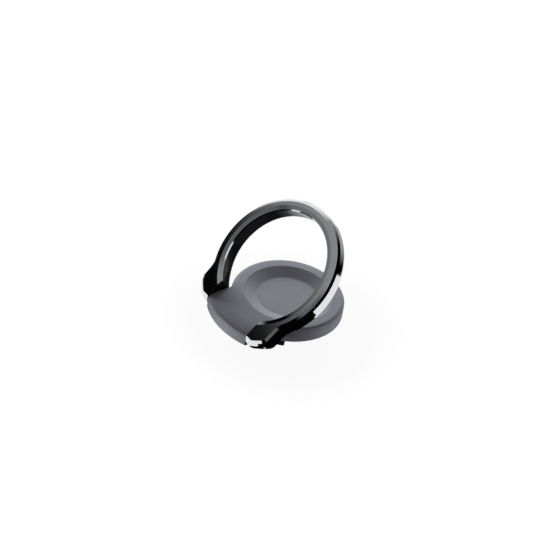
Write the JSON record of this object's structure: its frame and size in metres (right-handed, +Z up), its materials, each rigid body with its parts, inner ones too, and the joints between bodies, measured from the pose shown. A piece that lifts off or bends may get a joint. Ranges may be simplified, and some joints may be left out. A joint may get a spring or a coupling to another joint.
{
  "type": "phone ring holder",
  "caption": "Round dished puck with a hinge tab and a folding C-shaped finger ring, on a quarter-turn lug boss; holds a phone on a finger or props it up.",
  "frame": {"origin": "centre of the lock boss's foot face", "axes": "+Z up along the puck's axis, away from the phone; the hinge lies along X on the -Y side"},
  "size_m": [0.05, 0.0483, 0.0452],
  "materials": {
    "soft_touch_charcoal": "soft-touch matte",
    "black_chrome": "polished black chrome on cast zinc",
    "base_nylon": "moulded, fine grain",
    "screw_steel": "black oxide",
    "pin_steel": "ground",
    "sleeve_acetal": "moulded"
  },
  "bodies": {
    "puck": {"puck_body": "soft_touch_charcoal", "lock_base": "base_nylon", "base_screws": "screw_steel", "friction_sleeve_left": "sleeve_acetal", "friction_sleeve_right": "sleeve_acetal"},
    "ring": {"finger_ring": "black_chrome", "hinge_pin": "pin_steel"}
  },
  "joints": [
    {"name": "ring_hinge", "type": "hinge", "parent": "puck", "child": "ring", "pos_m": [0, -0.0231, 0.0099], "axis": [1, 0, 0], "range_deg": [-44.5, 90.5]}
  ]
}
